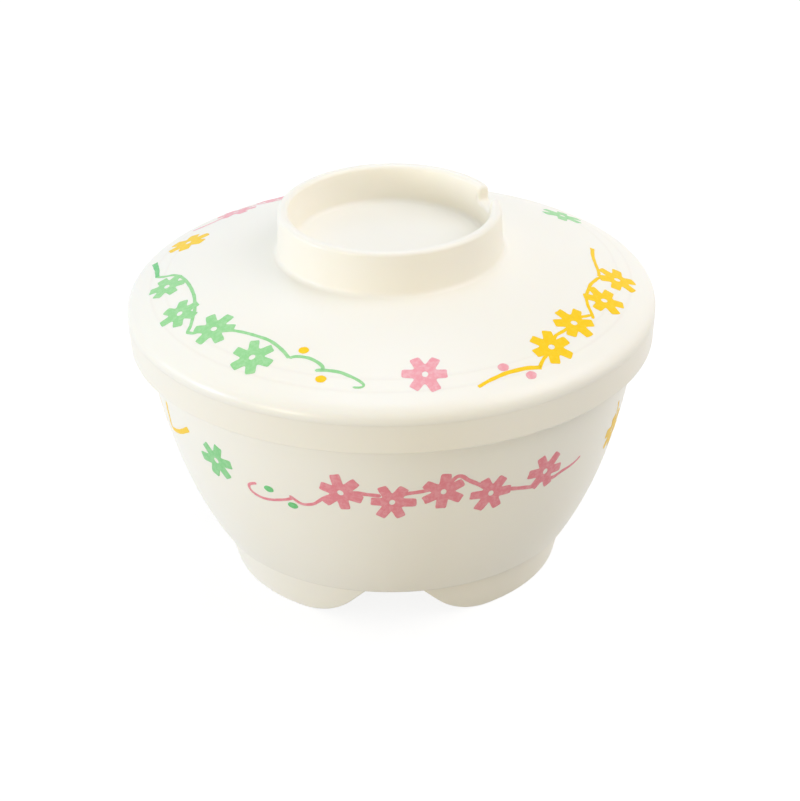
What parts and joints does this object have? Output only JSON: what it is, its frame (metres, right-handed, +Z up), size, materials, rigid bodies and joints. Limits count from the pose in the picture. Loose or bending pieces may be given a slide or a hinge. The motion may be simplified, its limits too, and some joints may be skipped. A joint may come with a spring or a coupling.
{
  "type": "insulated bowl",
  "caption": "Lidded round bowl with foam-filled double walls, an arched foot ring, a domed skirted lid and a grip ring with a drain notch.",
  "frame": {"origin": "on the table, under the middle of the foot ring", "axes": "+Z up, -Y to the front, where one of the foot's arches is, +X to the right as seen from the front"},
  "size_m": [0.14, 0.14, 0.0998],
  "materials": {
    "ivory_shell": "smooth moulded, satin gloss",
    "ivory_liner": "smooth moulded, satin gloss",
    "foam": "rigid foam, fine closed cells",
    "ivory_plug": "smooth moulded"
  },
  "bodies": {
    "bowl": {"bowl_outer_shell": "ivory_shell", "bowl_inner_liner": "ivory_liner", "bowl_foam_core": "foam", "bowl_base_plug": "ivory_plug"},
    "lid": {"lid_cover": "ivory_shell", "lid_liner": "ivory_liner", "lid_foam_core": "foam", "lid_plug": "ivory_plug"}
  },
  "joints": [
    {"name": "lid_lift", "type": "slide", "parent": "bowl", "child": "lid", "axis": [0, 0, 1], "range_m": [0, 0.08]}
  ]
}
